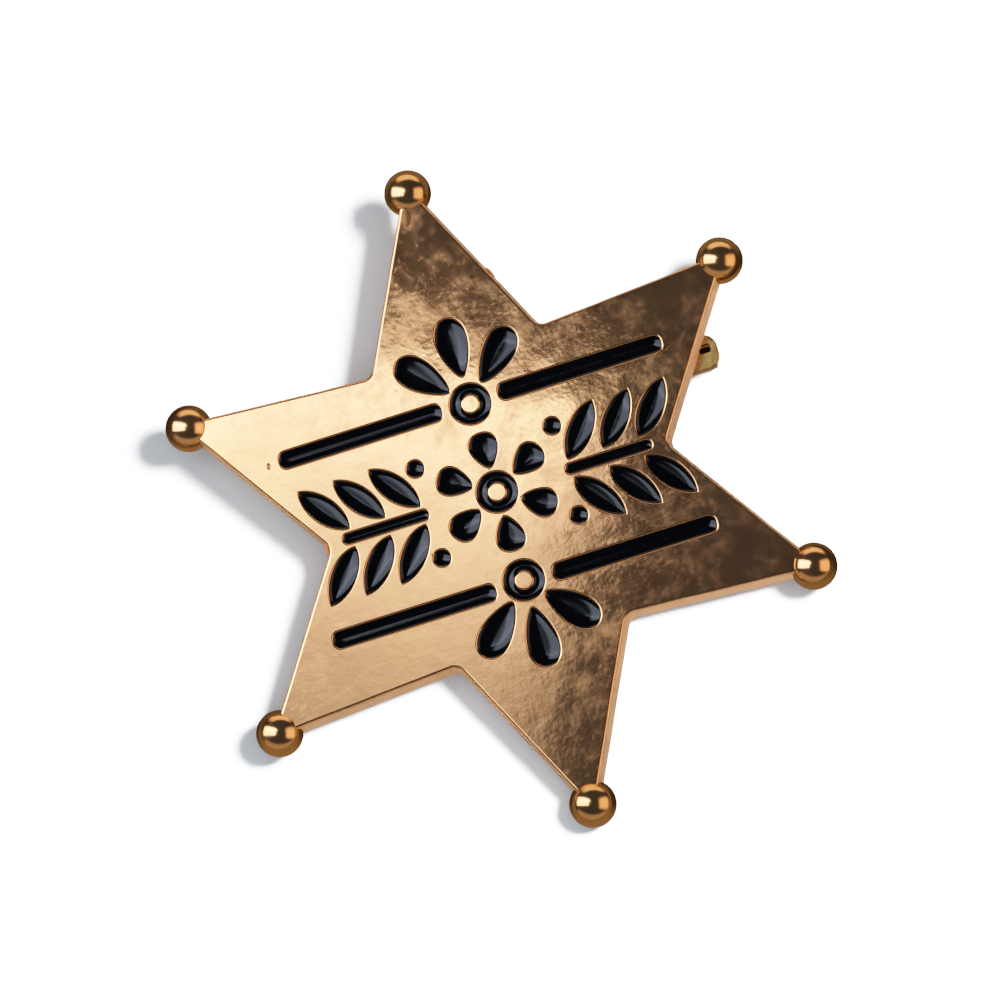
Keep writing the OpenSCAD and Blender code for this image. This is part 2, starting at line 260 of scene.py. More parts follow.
def take(obj, *others):
    """Selects one object as the active one, and others with it"""
    if bpy.context.mode != 'OBJECT':
        bpy.ops.object.mode_set(mode='OBJECT')
    bpy.ops.object.select_all(action='DESELECT')
    for each in (*others, obj):
        each.select_set(True)
    bpy.context.view_layer.objects.active = obj


def open_mesh(obj, kind='FACE'):
    """Opens a mesh for editing with nothing of it selected"""
    take(obj)
    bpy.ops.object.mode_set(mode='EDIT')
    bpy.ops.mesh.select_mode(type=kind)
    bpy.ops.mesh.select_all(action='DESELECT')


def pick(obj, kind, test):
    """Selects the vertices, edges or faces of an open mesh that pass a test"""
    bpy.ops.mesh.select_mode(type=kind)
    bpy.ops.mesh.select_all(action='DESELECT')
    mesh = bmesh.from_edit_mesh(obj.data)
    items = {'VERT': mesh.verts, 'EDGE': mesh.edges, 'FACE': mesh.faces}[kind]
    found = 0
    for item in items:
        if test(item):
            item.select_set(True)
            found += 1
    mesh.select_flush_mode()
    bmesh.update_edit_mesh(obj.data)
    if not found:
        raise RuntimeError("nothing of " + obj.name + " passes the test")


def close_mesh(obj):
    """Turns every face outwards and leaves edit mode"""
    bpy.ops.mesh.select_mode(type='FACE')
    bpy.ops.mesh.select_all(action='SELECT')
    bpy.ops.mesh.normals_make_consistent(inside=False)
    bpy.ops.object.mode_set(mode='OBJECT')
    return obj


def settle():
    """Puts the place, turn and size of the selected object into its mesh"""
    bpy.ops.object.transform_apply(location=True, rotation=True, scale=True)


def draw_out(x=0, y=0, z=0):
    """Extrudes the selected faces by a distance"""
    bpy.ops.mesh.extrude_region_move(TRANSFORM_OT_translate={"value": (x, y, z)})


def round_sharp_edges(sharp, radius, steps):
    """Rounds the edges of an open mesh that are sharper than an angle in degrees"""
    bpy.ops.mesh.select_mode(type='EDGE')
    bpy.ops.mesh.select_all(action='DESELECT')
    bpy.ops.mesh.edges_select_sharp(sharpness=math.radians(sharp))
    bpy.ops.mesh.bevel(offset=radius, affect='EDGES', segments=steps)


def named(name):
    """Names the object that was just added, and opens it"""
    obj = bpy.context.active_object
    obj.name = name
    obj.data.name = name
    open_mesh(obj)
    return obj


def join(objs, name):
    """Joins objects into the first one"""
    take(objs[0], *objs[1:])
    bpy.ops.object.join()
    objs[0].name = name
    return objs[0]


def combine(obj, tool, operation):
    """Cuts, adds or keeps a tool's shape by an exact boolean, and throws the tool away"""
    take(obj)
    bpy.ops.object.modifier_add(type='BOOLEAN')
    change = obj.modifiers[-1]
    change.operation = operation
    change.solver = 'EXACT'
    change.object = tool
    bpy.ops.object.modifier_apply(modifier=change.name)
    bpy.data.objects.remove(tool)
    return obj


def set_down(obj, turn, x, y):
    """Turns a piece about Z on the bench and moves it to its place"""
    take(obj)
    obj.rotation_euler = (0, 0, turn)
    obj.location = (x, y, 0)
    settle()


def copy_of(obj, name):
    """A copy with its own mesh"""
    take(obj)
    bpy.ops.object.duplicate()
    copy = bpy.context.active_object
    copy.name = name
    copy.data.name = name
    return copy


def smooth(obj, degrees, weigh=False):
    """Smooths faces up to an angle; large flat faces keep their own normals if weighed"""
    take(obj)
    bpy.ops.object.shade_smooth_by_angle(angle=math.radians(degrees))
    if weigh:
        bpy.ops.object.modifier_add(type='WEIGHTED_NORMAL')
        obj.modifiers[-1].keep_sharp = True
        obj.modifiers[-1].weight = 100
        bpy.ops.object.modifier_apply(modifier=obj.modifiers[-1].name)


def dress(piece, *finishes):
    """Gives a piece its finishes in place of any that it has"""
    piece.data.materials.clear()
    for finish in finishes:
        piece.data.materials.append(finish)


def finish_faces(piece, index, test):
    """Gives the faces of an open mesh that pass a test one of the piece's finishes"""
    pick(piece, 'FACE', test)
    piece.active_material_index = index
    bpy.ops.object.material_slot_assign()


def lay_down(obj, star):
    """Shrinks a bench piece to its real size and lays it as the badge rests"""
    take(obj)
    obj.scale = (MM, MM, MM)
    obj.rotation_euler = (star.tilt, 0, 0)
    obj.location = (0, 0, star.lift * MM)
    settle()


def hand_over(obj, slot, *nodes):
    """Ties a finished piece to the frame"""
    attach(obj, "root")
    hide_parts(*nodes)


# Outlines

BLADE_STEPS = 30
ROUND_STEPS = 64
CORNER_STEPS = 6


def blade_taper(a, form):
    """How much a blade is narrower than an ellipse, from 0 at its end to pi at its foot"""
    foot = form[2] + (1 - form[2]) * math.cos(a / 2) ** form[0]
    return foot * math.sin(a / 2) ** form[1]


def blade_face(name, size, form, g):
    """A flat blade along +X with its foot at 0, drawn in by g all round"""
    long_r = size[0] / 2 - g
    middle = (size[0] / 2, 0, 0)
    bpy.ops.mesh.primitive_circle_add(vertices=2 * BLADE_STEPS, radius=long_r,
                                      fill_type='NGON', location=middle)
    settle()
    obj = named(name)
    steps = [math.pi * i / 360 for i in range(1, 360)]
    widest = max(math.sin(a) * blade_taper(a, form) for a in steps)
    for i in range(1, BLADE_STEPS):
        a = math.pi * i / BLADE_STEPS
        x = middle[0] + long_r * math.cos(a)
        pick(obj, 'VERT', lambda v: abs(v.co.x - x) < long_r * 1e-3)
        narrow = (size[1] / 2 - g) / long_r * blade_taper(a, form) / widest
        bpy.ops.transform.resize(value=(1, narrow, 1), center_override=middle)
    pick(obj, 'FACE', lambda f: True)
    return obj, middle


def bar_face(name, size, corner, g):
    """A flat bar along +X from 0 with rounded corners, drawn in by g all round"""
    middle = (size[0] / 2, 0, 0)
    bpy.ops.mesh.primitive_plane_add(size=1, location=middle)
    bar = bpy.context.active_object
    bar.scale = (size[0] - 2 * g, size[1] - 2 * g, 1)
    settle()
    obj = named(name)
    pick(obj, 'VERT', lambda v: True)
    bpy.ops.mesh.bevel(offset=min(corner - g, (size[1] / 2 - g) * 0.97), affect='VERTICES',
                       segments=CORNER_STEPS)
    pick(obj, 'FACE', lambda f: True)
    return obj, middle


def disc_face(name, d, g):
    """A flat disc, drawn in by g"""
    bpy.ops.mesh.primitive_circle_add(vertices=ROUND_STEPS, radius=d / 2 - g, fill_type='NGON')
    obj = named(name)
    pick(obj, 'FACE', lambda f: True)
    return obj, (0, 0, 0)


def ring_face(name, d, dot_d, g):
    """A flat ring, drawn in by g from both its edges"""
    obj, middle = disc_face(name, d, g)
    bpy.ops.mesh.inset(thickness=(d - dot_d) / 2 - 2 * g)
    bpy.ops.mesh.delete(type='FACE')
    pick(obj, 'FACE', lambda f: True)
    return obj, middle


def raise_levels(levels, size, middle):
    """Raises the selected face through levels of height and g, and draws it in by g"""
    for (z0, g0), (z1, g1) in zip(levels, levels[1:]):
        draw_out(z=z1 - z0)
        if g1 != g0:
            across, along = ((side - 2 * g1) / (side - 2 * g0) for side in size)
            bpy.ops.transform.resize(value=(across, along, 1), center_override=middle)


def raise_ring_levels(levels):
    """Does the same to a ring, which is drawn in from both its edges"""
    for (z0, g0), (z1, g1) in zip(levels, levels[1:]):
        if g1 == g0:
            draw_out(z=z1 - z0)
        else:
            bpy.ops.mesh.inset(thickness=g1 - g0, depth=z1 - z0)


# The ornament: its shapes, and the place of each fill

def shape_maker(art, kind):
    """The flat face of one kind of ornament, with the size that it is drawn in from"""
    blades = {
        "petal": ((art.petal_l, art.petal_w), PETAL_FORM),
        "rosette_petal": ((art.rosette_petal_l, art.rosette_petal_w), PETAL_FORM),
        "leaf": ((art.leaf_l, art.leaf_w), LEAF_FORM),
    }
    bars = {
        "bar": ((art.bar_l, art.bar_w), art.bar_round),
        "stem": ((art.stem_l, art.stem_w), art.stem_w / 2),
    }
    if kind in blades:
        size, form = blades[kind]
        return size, lambda name, g: blade_face(name, size, form, g)
    if kind in bars:
        size, corner = bars[kind]
        return size, lambda name, g: bar_face(name, size, corner, g)
    if kind == "berry":
        return (art.berry_d, art.berry_d), lambda name, g: disc_face(name, art.berry_d, g)
    width = (art.ring_d - art.dot_d) / 2
    return (width, width), lambda name, g: ring_face(name, art.ring_d, art.dot_d, g)


def make_shape(art, kind, name, levels):
    """A solid of one kind of ornament, raised or sunk through levels of height and g"""
    size, draw = shape_maker(art, kind)
    obj, middle = draw(name, levels[0][1])
    bpy.ops.transform.translate(value=(0, 0, levels[0][0]))
    if kind == "ring":
        raise_ring_levels(levels)
    else:
        raise_levels(levels, size, middle)
    return close_mesh(obj)


def ray(turn, r, x=0, y=0):
    """The place at a distance and a turn from another place"""
    return x + r * math.cos(turn), y + r * math.sin(turn)


def ornament_places(star, art):
    """Node, kind, turn and place of each fill"""
    rise = star.art_rise
    places = []
    for level, up in (("upper", 1), ("lower", -1)):
        for side, across in (("left", -1), ("middle", 0), ("right", 1)):
            turn = up * (math.pi / 2 - across * art.petal_fan)
            foot = art.petal_side_r if across else art.petal_mid_r
            places.append((f"petal_{level}_{side}", "petal", turn,
                           *ray(turn, foot, 0, up * art.ring_y + rise)))
        places.append((f"ring_{level}", "ring", 0, 0, up * art.ring_y + rise))
        for hand, turn in (("left", math.pi), ("right", 0)):
            places.append((f"bar_{level}_{hand}", "bar", turn,
                           *ray(turn, art.bar_start, 0, up * art.bar_y + rise)))
    places.append(("rosette_ring", "ring", 0, 0, rise))
    for i in range(ROSETTE_PETALS):
        turn = math.pi / 2 + i * math.tau / ROSETTE_PETALS
        places.append((f"rosette_petal_{i + 1}", "rosette_petal", turn,
                       *ray(turn, art.rosette_petal_r, 0, rise)))
    for hand, out in (("left", -1), ("right", 1)):
        stem_turn = 0 if out == 1 else math.pi
        places.append((f"stem_{hand}", "stem", stem_turn, out * art.stem_start, rise))
        for i in range(2 * LEAF_PAIRS):
            side = 1 if i % 2 == 0 else -1
            lean = side * art.leaf_lean
            turn = lean if out == 1 else math.pi - lean
            along = art.leaf_start + i // 2 * art.leaf_pitch
            places.append((f"leaf_{hand}_{i + 1}", "leaf", turn,
                           out * along, side * art.leaf_foot + rise))
    for i, (across, up) in enumerate(((1, 1), (-1, 1), (1, -1), (-1, -1))):
        places.append((f"berry_{i + 1}", "berry", 0,
                       across * art.berry_x, up * art.berry_y + rise))
    return places


def lay_out(star, art, levels_of, prefix):
    """Makes one solid of each kind and copies it to each of its places"""
    made = {}
    masters = {}
    for node, kind, turn, x, y in ornament_places(star, art):
        if kind not in masters:
            masters[kind] = make_shape(art, kind, prefix + kind, levels_of(kind))
        copy = copy_of(masters[kind], prefix + node)
        set_down(copy, turn, x, y)
        made[node] = copy
    for master in masters.values():
        bpy.data.objects.remove(master)
    return made


# The casting

OUTLINE_CUTS = 7
EDGE_STEPS = 4
LIP_STEPS = 4
BALL_SEGMENTS = 64
PAST = 0.5


def star_plate(star):
    """The plate: a twelve-cornered face, notched, strayed, raised with draft and rounded"""
    half = math.pi / POINTS
    neck_x = star.balls_at * math.cos(half) + star.neck_w / 2 * math.sin(half)
    neck_y = star.balls_at * math.sin(half) - star.neck_w / 2 * math.cos(half)
    slope = math.atan2(neck_y, neck_x - star.notch_r)
    apex_r = star.notch_r * math.sin(slope) / math.sin(slope - half)
    bpy.ops.mesh.primitive_circle_add(vertices=2 * POINTS, radius=apex_r, fill_type='NGON')
    plate = named("star_casting")

    def is_notch(v):
        turns = math.atan2(v.co.y, v.co.x) / half
        return round(turns) % 2 == 0

    pick(plate, 'VERT', is_notch)
    notch_scale = star.notch_r / apex_r
    bpy.ops.transform.resize(value=(notch_scale, notch_scale, 1), center_override=(0, 0, 0))
    pick(plate, 'VERT', lambda v: v.co.length < star.notch_r * 1.01)
    bpy.ops.mesh.bevel(offset=star.notch_round / math.tan(slope), affect='VERTICES',
                       segments=CORNER_STEPS)
    long_edge = star.notch_round * 3
    pick(plate, 'EDGE', lambda e: e.calc_length() > long_edge)
    bpy.ops.mesh.subdivide(number_cuts=OUTLINE_CUTS)
    pick(plate, 'VERT', lambda v: star.notch_r + 2 < v.co.length < star.balls_at - 2)
    bpy.ops.transform.vertex_random(offset=star.wobble, seed=5)
    pick(plate, 'FACE', lambda f: True)
    bpy.ops.transform.resize(value=(1, 1, 0), center_override=(0, 0, 0))
    bpy.ops.transform.translate(value=(0, 0, star.back_z))
    draw_out(z=star.land)
    bpy.ops.mesh.inset(thickness=star.draft, depth=star.plate_t - star.land)
    for z, radius, steps in ((star.face_z, star.edge_round, EDGE_STEPS),
                             (star.back_z, star.back_round, 2)):
        pick(plate, 'EDGE', lambda e: all(abs(v.co.z - z) < 1e-3 for v in e.verts))
        bpy.ops.mesh.bevel(offset=radius, affect='EDGES', segments=steps)
    return close_mesh(plate)


def ball(star, i):
    """One of the balls, a true sphere cast on its point"""
    turn = math.pi / 2 + i * math.tau / POINTS
    bpy.ops.mesh.primitive_uv_sphere_add(segments=BALL_SEGMENTS, ring_count=BALL_SEGMENTS // 2,
                                         radius=star.ball_r)
    obj = named("ball")
    close_mesh(obj)
    set_down(obj, 0, *ray(turn, star.balls_at))
    return obj


def peg(star, clasp, place):
    """A cast peg on the back with its head riveted over to a dome"""
    head_z = clasp.strip_low_z - clasp.strip_gap
    peg_size = (star.peg_d, star.peg_d)
    spread = (star.peg_d - star.peg_head_d) / 2
    obj, middle = disc_face("peg", star.peg_d, 0)
    top_z = star.back_z + PAST
    bpy.ops.transform.translate(value=(0, 0, top_z))
    dome = [(head_z - star.peg_head_h * math.sin(a), -spread * (1 - math.cos(a)) + spread)
            for a in (math.radians(d) for d in (0, 20, 40, 60, 78))]
    raise_levels([(top_z, 0), (head_z, 0), *dome], peg_size, middle)
    close_mesh(obj)
    set_down(obj, 0, *place)
    return obj


def lump(name, fault, z):
    """A small cast lump: a ball pressed out of round, with a dented skin"""
    (x, y), size, turn = fault
    bpy.ops.mesh.primitive_ico_sphere_add(subdivisions=3, radius=0.5)
    obj = named(name)
    pick(obj, 'VERT', lambda v: True)
    bpy.ops.transform.vertex_random(offset=0.03, seed=11)
    bpy.ops.transform.resize(value=size)
    close_mesh(obj)
    take(obj)
    obj.rotation_euler = (0, 0, math.radians(turn))
    obj.location = (x, y, z)
    settle()
    return obj


def lip_levels(star):
    """Levels of a cutter from above the face down its rounded lip to the recess floor"""
    r = star.lip_round
    levels = [(star.face_z + PAST, -r)]
    for i in range(LIP_STEPS + 1):
        a = math.pi / 2 * (1 - i / LIP_STEPS)
        levels.append((star.face_z - r + r * math.sin(a), -(r - r * math.cos(a))))
    return [*levels, (star.recess_z, 0)]


# Small faults of the casting: the place on the face, size and turn in degrees of a pit in the
# face, a nub on an edge, a run of metal below the top ball and flash in the left notch
PIT = ((-21.42, 9.86), (0.42, 0.75, 0.34), -12)
NUB = ((5.66, 22.30), (0.42, 1.4, 1.7), 26)
TOP_RUN = ((-0.75, 29.9), (1.9, 1.0, 0.42), 75)
NOTCH_FLASH = ((-18.22, -0.1), (0.55, 2.2, 2.2), 4)
TOP_RUN_REACH = 1.05


def make_casting():
    """The star: plate, balls and pegs cast in one, with the ornament sunk in its face"""
    s = sizes()
    star, clasp = s.star, s.clasp
    plate = star_plate(star)
    extras = [ball(star, i) for i in range(POINTS)]
    extras += [peg(star, clasp, place) for place in clasp.pegs]
    extras += [lump("nub", NUB, -0.2), lump("flash", NOTCH_FLASH, -0.1)]
    combine(plate, join(extras, "extras"), 'UNION')
    combine(plate, lump("run", TOP_RUN, star.face_z - 0.08), 'UNION')
    cutters = list(lay_out(star, s.art, lambda kind: lip_levels(star), "cut_").values())
    cutters.append(lump("pit", PIT, star.face_z))
    combine(plate, join(cutters, "cutters"), 'DIFFERENCE')
    dress(plate, cast_gold(star), polished_gold(star), satin_gold(star))
    open_mesh(plate)

    def on_ball(f):
        at = f.calc_center_median()
        r = math.hypot(at.x, at.y)
        turn = math.atan2(at.y, at.x) - math.pi / 2
        off = (turn * POINTS / math.tau - round(turn * POINTS / math.tau)) * math.tau / POINTS
        across = Vector((r * math.cos(off) - star.balls_at, r * math.sin(off), at.z))
        return abs(across.length - star.ball_r) < star.ball_r * 0.01

    def on_run(f):
        at = f.calc_center_median()
        return at.z > star.face_z + 0.004 and math.dist(at.xy, TOP_RUN[0]) < TOP_RUN_REACH

    finish_faces(plate, 1, on_ball)
    finish_faces(plate, 2, on_run)
    close_mesh(plate)
    lay_down(plate, star)
    smooth(plate, 32, weigh=True)
    hand_over(plate, "antique_gold", "star")


# The enamel

def enamel_levels(s, kind):
    """Levels of a fill from its bed up its wall and over its hollow to the middle"""
    star, enamel = s.star, s.enamel
    half = min(shape_maker(s.art, kind)[0]) / 2 - enamel.clearance
    rim_z = star.face_z - enamel.rim_drop
    levels = [(star.recess_z + enamel.bed, enamel.clearance), (rim_z, enamel.clearance)]
    dish = enamel.dish * min(1, half / 1.2)
    for i in range(1, enamel.rings + 1):
        t = (i / enamel.rings) ** 1.6 * 0.94
        drop = (dish * (1 - (1 - t) ** 2)
                + enamel.creep * (1 - math.exp(-t * half / enamel.creep_reach)))
        levels.append((rim_z - drop, enamel.clearance + t * half))
    return levels


def make_enamel(kinds):
    """Pours the fills of some kinds and gives each to the node that it stands for"""
    s = sizes()
    wanted = {node for node, kind, *_ in ornament_places(s.star, s.art) if kind in kinds}
    fills = lay_out(s.star, s.art, lambda kind: enamel_levels(s, kind), "fill_")
    paint = black_enamel(s.star)
    for node, fill in fills.items():
        if node not in wanted:
            bpy.data.objects.remove(fill)
            continue
        fill.name = node + "_enamel"
        fill.data.name = fill.name
        dress(fill, paint)
        lay_down(fill, s.star)
        smooth(fill, 50)
        hand_over(fill, "black_enamel", node)


# The pin back

CATCH_STEPS = 18
TIP_STEPS = 5
WIRE_FACETS = 32
CATCH_ROUND = 0.2
EAR_ROUND = 0.08
# An ear is a tenth narrower where it meets the strip, which keeps it inside the strip's corner
EAR_TAPER = 0.9
# How far a face may lie from the place that it is looked for at
SLACK = 0.02


def clasp_strip(star, clasp):
    """The strip: a stamped bar with rounded edges, two peg holes and a slot"""
    size = (clasp.strip_left + clasp.strip_right, clasp.strip_w)
    strip, middle = bar_face("clasp_strip", size, clasp.strip_round, 0)
    bpy.ops.transform.translate(value=(-clasp.strip_left, clasp.pin_y, clasp.strip_low_z))
    draw_out(z=clasp.strip_t)
    pick(strip, 'EDGE', lambda e: abs(e.verts[0].co.z - e.verts[1].co.z) < 1e-4)
    bpy.ops.mesh.bevel(offset=clasp.stamp_round, affect='EDGES', segments=3)
    close_mesh(strip)
    hole_d = star.peg_d + 2 * clasp.strip_gap
    low = clasp.strip_low_z - PAST
    high = clasp.strip_top_z + PAST
    cutters = []
    for place in clasp.pegs:
        hole, middle = disc_face("hole", hole_d, 0)
        bpy.ops.transform.translate(value=(0, 0, low))
        raise_levels([(low, 0), (high, 0)], (hole_d, hole_d), middle)
        close_mesh(hole)
        set_down(hole, 0, *place)
        cutters.append(hole)
    slot_size = (clasp.window_l, clasp.window_w)
    slot, middle = bar_face("slot", slot_size, clasp.window_round, 0)
    bpy.ops.transform.translate(value=(0, 0, low))
    raise_levels([(low, 0), (high, 0)], slot_size, middle)
    close_mesh(slot)
    set_down(slot, 0, clasp.strip_right - clasp.window_inset - clasp.window_l,
             clasp.pin_y + clasp.window_rise)
    cutters.append(slot)
    return combine(strip, join(cutters, "cutters"), 'DIFFERENCE')


def clasp_catch(clasp):
    """The catch: a leg down from the strip that is spun round the wire"""
    bpy.ops.mesh.primitive_plane_add(size=1)
    leg = bpy.context.active_object
    leg.scale = (clasp.catch_w, clasp.catch_t, 1)
    leg.location = (clasp.strip_right - clasp.catch_inset - clasp.catch_w / 2,
                    clasp.pin_y - clasp.catch_outer_r + clasp.catch_t / 2,
                    clasp.strip_low_z + PAST / 2)
    settle()
    catch = named("catch")
    pick(catch, 'FACE', lambda f: True)
    drop = clasp.wire_z - clasp.strip_low_z - PAST / 2
    draw_out(z=drop)
    bpy.ops.mesh.spin(steps=CATCH_STEPS, angle=math.pi + clasp.catch_lip, axis=(-1, 0, 0),
                      center=(0, clasp.pin_y, clasp.wire_z))
    round_sharp_edges(40, CATCH_ROUND, 3)
    return close_mesh(catch)


def hinge_ear(clasp, y):
    """One ear of the hinge: a disc whose upper half is drawn up into the strip"""
    bpy.ops.mesh.primitive_cylinder_add(vertices=40, radius=clasp.ear_r, depth=clasp.ear_t,
                                        rotation=(math.pi / 2, 0, 0),
                                        location=(clasp.hinge_x, y, clasp.wire_z))
    settle()
    ear = named("ear")
    pick(ear, 'VERT', lambda v: v.co.z > clasp.wire_z + SLACK)
    bpy.ops.transform.resize(value=(EAR_TAPER, 1, 0),
                             center_override=(clasp.hinge_x, y, clasp.wire_z))
    bpy.ops.transform.translate(value=(0, 0, clasp.strip_low_z + PAST / 2 - clasp.wire_z))
    round_sharp_edges(60, EAR_ROUND, 2)
    return close_mesh(ear)


def stem_wire(clasp):
    """The stem: a wire drawn out to a sharp tip, with its other end bent to an eye"""
    end_x = clasp.strip_right - clasp.tip_inset
    start_x = clasp.hinge_x + clasp.eye_d / 2 - clasp.wire_r
    shank = end_x - clasp.tip_l - start_x
    bpy.ops.mesh.primitive_cylinder_add(
        vertices=WIRE_FACETS, radius=clasp.wire_r, depth=shank, rotation=(0, math.pi / 2, 0),
        location=(start_x + shank / 2, clasp.pin_y, clasp.wire_z))
    settle()
    wire = named("clasp_stem")
    pick(wire, 'FACE', lambda f: f.normal.x > 0.9)
    middle = (0, clasp.pin_y, clasp.wire_z)
    r0 = clasp.wire_r
    for i in range(1, TIP_STEPS + 1):
        t = i / TIP_STEPS
        r1 = clasp.wire_r + (clasp.tip_d / 2 - clasp.wire_r) * t ** 1.4
        draw_out(x=clasp.tip_l / TIP_STEPS)
        bpy.ops.transform.resize(value=(1, r1 / r0, r1 / r0), center_override=middle)
        r0 = r1
    close_mesh(wire)
    minor = clasp.wire_r * 0.98
    bpy.ops.mesh.primitive_torus_add(
        major_segments=40, minor_segments=24, major_radius=clasp.eye_d / 2 - minor,
        minor_radius=minor, rotation=(math.pi / 2, 0, 0),
        location=(clasp.hinge_x, clasp.pin_y, clasp.wire_z))
    settle()
    eye = close_mesh(named("eye"))
    return combine(wire, eye, 'UNION')


def hinge_rivet(clasp):
    """The hinge rivet: a shank through both ears with a domed head at each end"""
    reach = clasp.hinge_w / 2
    head_r = clasp.rivet_head_d / 2
    bpy.ops.mesh.primitive_cylinder_add(
        vertices=WIRE_FACETS, radius=clasp.rivet_d / 2, depth=2 * reach,
        rotation=(math.pi / 2, 0, 0), location=(clasp.hinge_x, clasp.pin_y, clasp.wire_z))
    settle()
    rivet = named("clasp_rivet")
    centre = (clasp.hinge_x, clasp.pin_y, clasp.wire_z)
    for side in (-1, 1):
        pick(rivet, 'FACE', lambda f: f.normal.y * side > 0.9
             and (f.calc_center_median().y - clasp.pin_y) * side > 0)
        r0 = clasp.rivet_d / 2
        z0 = 0
        for a in (0, 22, 45, 68):
            r1 = head_r * math.cos(math.radians(a))
            z1 = clasp.rivet_head_h * math.sin(math.radians(a))
            draw_out(y=side * (z1 - z0))
            bpy.ops.transform.resize(value=(r1 / r0, 1, r1 / r0), center_override=centre)
            r0, z0 = r1, z1
    return close_mesh(rivet)


def paint_shade_faces(piece, finish, test):
    """Gives the faces of a piece that pass a test a second finish, the near-black of painted
    shade
    """
    piece.data.materials.append(finish)
    open_mesh(piece)
    finish_faces(piece, len(piece.data.materials) - 1, lambda f: test(f.calc_center_median()))
    close_mesh(piece)


def paint_clasp_shade(strip, stem, star, clasp):
    """Paints shade, as a near-black finish, on the walls of the slot, the inside of the catch and
    the tip inside it
    """
    painted_shade = painted_shade_brass(star)
    catch_x = clasp.strip_right - clasp.catch_inset - clasp.catch_w
    slot_x = clasp.strip_right - clasp.window_inset - clasp.window_l / 2
    slot_y = clasp.pin_y + clasp.window_rise

    def in_shadow(at):
        in_catch = (at.x > catch_x - 0.01 and at.z < clasp.strip_low_z
                    and math.hypot(at.y - clasp.pin_y, at.z - clasp.wire_z)
                    < clasp.catch_inner_r + SLACK)
        in_slot = (abs(at.x - slot_x) < clasp.window_l / 2 + SLACK
                   and abs(at.y - slot_y) < clasp.window_w / 2 + SLACK
                   and at.z < clasp.strip_top_z - 0.01)
        return in_catch or in_slot

    paint_shade_faces(strip, painted_shade, in_shadow)
    paint_shade_faces(stem, painted_shade, lambda at: at.x > catch_x + 0.5)


def make_clasp():
    """The pin back: strip with catch and ears, stem wire and hinge rivet"""
    s = sizes()
    star, clasp = s.star, s.clasp
    strip = clasp_strip(star, clasp)
    ears = [hinge_ear(clasp, clasp.pin_y + side * (clasp.hinge_w - clasp.ear_t) / 2)
            for side in (-1, 1)]
    combine(strip, join([clasp_catch(clasp), *ears], "bent"), 'UNION')
    stem = stem_wire(clasp)
    pieces = (strip, stem, hinge_rivet(clasp))
    finish = plated_brass(star)
    for piece in pieces:
        dress(piece, finish)
    # Painted shade in the slot, inside the catch and on the tip
    paint_clasp_shade(strip, stem, star, clasp)
    for piece in pieces:
        lay_down(piece, star)
        smooth(piece, 35, weigh=True)
        hand_over(piece, "brass_plate", "pin_back")


# Finishes

def feed(tree, node, inputs):
    """Links or fills a node's inputs"""
    for key, value in inputs.items():
        if isinstance(value, bpy.types.NodeSocket):
            tree.links.new(value, node.inputs[key])
        else:
            node.inputs[key].default_value = value
    return node


def add(tree, kind, inputs=None, **settings):
    """Adds a node, sets it up, and links or fills its inputs"""
    node = tree.nodes.new(kind)
    for key, value in settings.items():
        setattr(node, key, value)
    return feed(tree, node, inputs or {})


def noise(tree, place, scale, detail, **more):
    """A noise over the piece, from 0 to 1"""
    inputs = {'Vector': place, 'Scale': scale, 'Detail': detail, **more}
    return add(tree, 'ShaderNodeTexNoise', inputs).outputs[0]


def maths(tree, operation, *values, clamp=False):
    """One step of arithmetic"""
    inputs = {i: value for i, value in enumerate(values)}
    return add(tree, 'ShaderNodeMath', inputs, operation=operation, use_clamp=clamp).outputs[0]


def mix_colour(tree, factor, first, second):
    """A blend of two colours"""
    node = add(tree, 'ShaderNodeMix', {0: factor, 6: first, 7: second}, data_type='RGBA')
    return node.outputs[2]


def ramp(tree, value, low, high):
    """Stretches a value so that low becomes 0 and high becomes 1"""
    return add(tree, 'ShaderNodeMapRange', {0: value, 1: low, 2: high}).outputs[0]


def group(name, inputs, outputs):
    """A new node group; inputs and outputs are pairs of name and kind of socket"""
    tree = bpy.data.node_groups.new(name, 'ShaderNodeTree')
    for label, kind in inputs:
        tree.interface.new_socket(label, in_out='INPUT', socket_type='NodeSocket' + kind)
    for label, kind in outputs:
        tree.interface.new_socket(label, in_out='OUTPUT', socket_type='NodeSocket' + kind)
    return tree, tree.nodes.new('NodeGroupInput').outputs, tree.nodes.new('NodeGroupOutput')


def place_group(tree, name, build, inputs):
    """Places a group in a material, and builds it the first time"""
    shared = bpy.data.node_groups.get(name) or build(name)
    node = tree.nodes.new('ShaderNodeGroup')
    node.node_tree = shared
    return feed(tree, node, inputs).outputs


def clouded_plating(name):
    """Plating that clouds from one tone to another, with a mask of the clouds"""
    tree, given, out = group(
        name, [("Place", 'Vector'), ("Tone", 'Color'), ("Cloud Tone", 'Color'),
               ("Scale", 'Float'), ("Amount", 'Float')],
        [("Color", 'Color'), ("Clouds", 'Float')])
    wide = noise(tree, given["Place"], given["Scale"], 5.0, Roughness=0.6, Distortion=0.4)
    clouds = ramp(tree, wide, 0.38, 0.66)
    amount = maths(tree, 'MULTIPLY', clouds, given["Amount"], clamp=True)
    tree.links.new(mix_colour(tree, amount, given["Tone"], given["Cloud Tone"]),
                   out.inputs["Color"])
    tree.links.new(clouds, out.inputs["Clouds"])
    return tree


